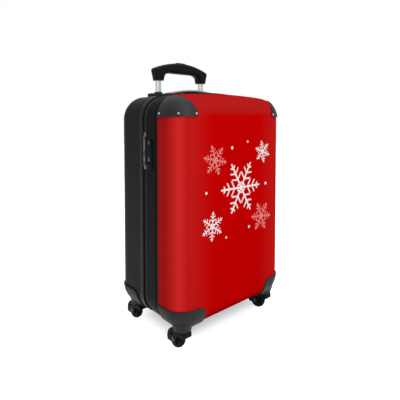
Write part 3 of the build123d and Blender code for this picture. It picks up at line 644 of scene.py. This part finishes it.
def zip_half(name, inner, outer, offset):
    """Half of the zip: a woven tape and its row of teeth, with a gap beside the hinge."""
    tape = case_loop(name + "_tape", TAPE_INSET, inner)
    pull_out(outer - inner)
    leave_hinge(tape, "FACE")
    face_out()
    close(tape, ZIP, "zip_cloth", thick(TAPE_THICKNESS))

    path = case_loop(name + "_path", TEETH_INSET, 0)
    leave_hinge(path, "EDGE")
    bpy.ops.object.mode_set(mode="OBJECT")
    bpy.ops.object.convert(target="CURVE")
    path = bpy.context.object
    path.data.twist_mode = "MINIMUM"
    tooth = start(name + "_teeth", bpy.ops.mesh.primitive_cube_add, size=1,
                  location=(offset, ZIP_Y, 0), scale=TOOTH)
    pick(tooth, "EDGE", lambda p: abs(p.z) > TOOTH[2] / 2 - TINY)
    bpy.ops.mesh.bevel(offset=TOOTH_BEVEL, segments=1)
    row = {"fit_type": "FIT_CURVE", "curve": path, "use_relative_offset": False,
           "use_constant_offset": True, "constant_offset_displace": (TOOTH_PITCH, 0, 0)}
    close(tooth, TEETH, "zip_cloth", ("ARRAY", row),
          ("CURVE", {"object": path, "deform_axis": "POS_X"}))
    bpy.data.objects.remove(path)
    return tape, tooth


def cloth_tray(name, edge, depth, rounding):
    """A lining: a cloth tray, slack over the shell, with a bound rim sewn to the zip tape."""
    far = edge + depth
    out = 1 if depth > 0 else -1
    tray = case_loop(name, LINING_INSET, edge)
    bpy.ops.mesh.select_all(action="SELECT")
    bpy.ops.mesh.edge_face_add()
    bpy.ops.mesh.extrude_region_move(TRANSFORM_OT_translate={"value": (0, depth, 0)})
    pick(tray, "EDGE", lambda p: abs(p.y - far) < TINY)
    bpy.ops.mesh.bevel(offset=rounding, segments=6)
    face_out()
    bpy.ops.object.mode_set(mode="OBJECT")
    grid = tray.modifiers.new("grid", "REMESH")
    grid.mode = "VOXEL"
    grid.voxel_size = LINING_GRID
    bpy.ops.object.modifier_apply(modifier=grid.name)
    bpy.ops.object.mode_set(mode="EDIT")
    pick(tray, "FACE", lambda p: out * (p.y - edge) < LINING_MOUTH)
    bpy.ops.mesh.delete(type="FACE")

    def sag(p):
        """Soft folds that die out towards the sewn rim."""
        hold = min(1.0, max(0.0, out * (p.y - edge) / FOLD_START))
        pull = noise.noise_vector(p * WIDE_FOLDS) * 0.6 + noise.noise_vector(p * FINE_FOLDS) * 0.3
        inward = Vector((-p.x, 0, MIDDLE_Z - p.z)).normalized() * 0.4 - Vector((0, out * 0.6, 0))
        return p + (pull * 0.5 + inward * (abs(pull.x) + abs(pull.z))) * LINING_SLACK * hold

    settle(tray, sag)
    close(tray, LINING, "lining_cloth", thick(LINING_THICKNESS))

    rim = case_loop(name + "_rim", RIM_INSET, edge)
    pull_out(out * RIM_DEPTH)
    step = LINING_INSET + RIM_GAP - RIM_INSET
    gather = 1 - step / SIDE
    rise = 1 - step / (MIDDLE_Z - CASE_BOTTOM)
    bpy.ops.transform.resize(value=(gather, 1, rise), center_override=(0, edge, MIDDLE_Z))
    face_out()
    close(rim, ZIP, "lining_cloth", thick(RIM_THICKNESS), rounded(RIM_ROUNDING))
    return join(tray, rim)


def hinge_strip():
    """The cloth hinge, sewn down along both edges and slack where it bends."""
    low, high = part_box("hinge_tape")
    x = (low[0] + high[0]) / 2
    front = 2 * ZIP_Y - high[1]
    strip = start("hinge_cloth", bpy.ops.mesh.primitive_plane_add, size=1,
                  rotation=(0, pi / 2, 0), location=(x, ZIP_Y, MIDDLE_Z),
                  scale=(high[2] - low[2], high[1] - front, 1))
    bpy.ops.mesh.subdivide(number_cuts=15)

    def slacken(p):
        """Lifts the middle of the strip a little off the case."""
        loose = max(0.0, 1 - ((p.y - ZIP_Y) / HINGE_BEND) ** 2)
        return p + Vector((HINGE_SLACK * loose, 0, 0))

    settle(strip, slacken)
    close(strip, HINGE, "zip_cloth", thick(TAPE_THICKNESS), rounded(HINGE_ROUNDING))
    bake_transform(strip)
    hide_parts("hinge_tape")


def strap_run(name, y, side, rise):
    """One run of webbing, from inside the buckle to the wall of the lining."""
    run = start(name, bpy.ops.mesh.primitive_plane_add, size=1, rotation=(pi / 2, 0, 0),
                location=((STRAP_REACH + STRAP_START) / 2, y, 0),
                scale=(STRAP_REACH - STRAP_START, STRAP_WIDTH, 1))
    bpy.ops.mesh.subdivide(number_cuts=13)

    def lay(p):
        """Turns the run to its slant and lets it ripple a little along its length."""
        along = p.x
        across = p.z
        ends = abs(2 * (along - STRAP_START) / (STRAP_REACH - STRAP_START) - 1)
        wave = STRAP_RIPPLE * sin(along * STRAP_RIPPLES + side) * (1 - ends)
        aside = along * cos(STRAP_TILT) - rise * across * sin(STRAP_TILT)
        up = rise * along * sin(STRAP_TILT) + across * cos(STRAP_TILT)
        return Vector((side * aside, p.y + wave, MIDDLE_Z + up))

    settle(run, lay)
    bpy.ops.mesh.select_all(action="SELECT")
    bpy.ops.mesh.bisect(plane_co=(side * STRAP_WALL, 0, 0), plane_no=(side, 0, 0),
                        clear_outer=True)
    face_out()
    return close(run, WEBBING, "webbing", thick(STRAP_THICKNESS), rounded(STRAP_ROUNDING))


def straps():
    """The crossed packing straps: four runs as one piece."""
    low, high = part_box("strap_webbing")
    near = low[1] + STRAP_THICKNESS / 2
    far = high[1] - STRAP_THICKNESS / 2
    runs = [strap_run(f"strap_run_{n}", near if side * rise < 0 else far, side, rise)
            for n, (side, rise) in enumerate(((1, 1), (1, -1), (-1, 1), (-1, -1)), 1)]
    webbing = join(*runs)
    webbing.name = "strap_webbing_cloth"
    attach(webbing, "rear_case")
    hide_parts("strap_webbing")


def zip_tapes():
    """Both halves of the zip, the rear one's teeth set between the front one's."""
    for name, inner, outer, node, body, offset in (
            ("front_zip", FRAME_BACK_Y - TAPE_LAP, ZIP_Y - TAPE_GAP,
             "front_zip_half", "front_lid", 0.0),
            ("rear_zip", ZIP_Y + TAPE_GAP, TRIM_Y + TAPE_LAP,
             "rear_zip_half", "rear_case", TOOTH_PITCH / 2)):
        tape, teeth = zip_half(name, inner, outer, offset)
        for piece in (tape, teeth):
            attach(piece, body)
        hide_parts(node)


def linings():
    """The cloth trays of both halves, each on its own body in place of its solid."""
    for name, node, depth, rounding, body in (
            ("rear_lining_cloth", "rear_lining", 0.0726, 0.019, "rear_case"),
            ("front_lining_cloth", "front_lining", -0.1016, 0.033, "front_lid")):
        edge = ZIP_Y + (LINING_EDGE if depth > 0 else -LINING_EDGE)
        tray = cloth_tray(name, edge, depth, rounding)
        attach(tray, body)
        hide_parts(node)


# The linings' folds come out the same in each run
noise.seed_set(FOLD_SEED)
zip_tapes()
hinge_strip()
linings()
straps()


# Camera, light and floor

SENSOR_MM = 36.0
LENS_MM = 34.24
CAMERA_SHIFT = -0.1595
CAMERA_PLACE = (-0.6332, FACE_Y - 0.5828, 0.4908)
CAMERA_YAW = radians(41.7)
CAMERA_PITCH = radians(2.5)
AMBIENT = 0.28

# Each lamp's name, place, size and power, and the point that both face
LAMPS = (
    ("key", (-0.45, -2.2, 1.35), (1.5, 1.6), 36),
    ("top", (0.0, 0.1, 2.2), (2.4, 2.4), 22),
)
LAMP_TARGET = (0, 0, 0.3)

# The floor's soft shade under the case: a box in x and y, its fading edge and its tone
FLOOR_SIZE = 12
SHADE_MIDDLE = (0.020, 0.030)
SHADE_HALF = (0.090, 0.058)
SHADE_EDGE = (0.040, 0.040)
SHADE_TONE = 0.37
WHITE = (1.0, 1.0, 1.0)


def face_along(obj, direction):
    """Turns a camera or a lamp to look along a direction."""
    obj.rotation_euler = direction.to_track_quat("-Z", "Y").to_euler()


def add_camera():
    """The photograph's camera."""
    data = bpy.data.cameras.new("photo_camera")
    data.sensor_width = SENSOR_MM
    data.lens = LENS_MM
    data.shift_y = CAMERA_SHIFT
    data.clip_start = 0.01
    camera = bpy.data.objects.new("photo_camera", data)
    bpy.context.scene.collection.objects.link(camera)
    camera.location = CAMERA_PLACE
    level = cos(CAMERA_PITCH)
    face_along(camera, Vector((sin(CAMERA_YAW) * level, cos(CAMERA_YAW) * level,
                               -sin(CAMERA_PITCH))))
    bpy.context.scene.camera = camera


def add_lamp(name, place, size, power):
    """A soft rectangular lamp."""
    data = bpy.data.lights.new(name, "AREA")
    data.shape = "RECTANGLE"
    data.size, data.size_y = size
    data.energy = power
    lamp = bpy.data.objects.new(name, data)
    bpy.context.scene.collection.objects.link(lamp)
    lamp.location = place
    face_along(lamp, Vector(LAMP_TARGET) - Vector(place))


def add_world():
    """A world that is white to look at and lights the case softly."""
    world = bpy.data.worlds.new("studio")
    bpy.context.scene.world = world
    world.use_nodes = True
    sky = Nodes(world.node_tree)
    sky.feed(sky.tree.nodes["Background"].inputs["Color"],
             sky.blend(sky.seen(), (AMBIENT, AMBIENT, AMBIENT), WHITE))


def add_floor():
    """A white floor with a soft shade under the case."""
    bpy.ops.object.select_all(action="DESELECT")
    bpy.ops.mesh.primitive_plane_add(size=FLOOR_SIZE)
    floor = bpy.context.object
    floor.name = "floor"
    finish = Finish("floor_white", (0.88, 0.91, 0.91), 0.9)
    x, y, _ = finish.axes()
    aside = (abs(x - SHADE_MIDDLE[0]) - SHADE_HALF[0]).either(0.0)
    along = (abs(y - SHADE_MIDDLE[1]) - SHADE_HALF[1]).either(0.0)
    under = (aside * aside + along * along).root().below(*SHADE_EDGE)
    under = under * under * (3 - under * 2)
    glow = finish.blend(under, WHITE, (SHADE_TONE, SHADE_TONE, SHADE_TONE))
    shown = finish.blend(finish.seen(), (0.0, 0.0, 0.0), glow)
    white = finish.node("ShaderNodeEmission", Color=shown)
    both = finish.node("ShaderNodeAddShader", i0=finish.shader.outputs[0], i1=white.outputs[0])
    finish.feed(finish.tree.nodes["Material Output"].inputs["Surface"], both.outputs[0])
    floor.data.materials.append(finish.material)


add_camera()
add_world()
for lamp in LAMPS:
    add_lamp(*lamp)
add_floor()

scene = bpy.context.scene
scene.view_settings.view_transform = "Standard"
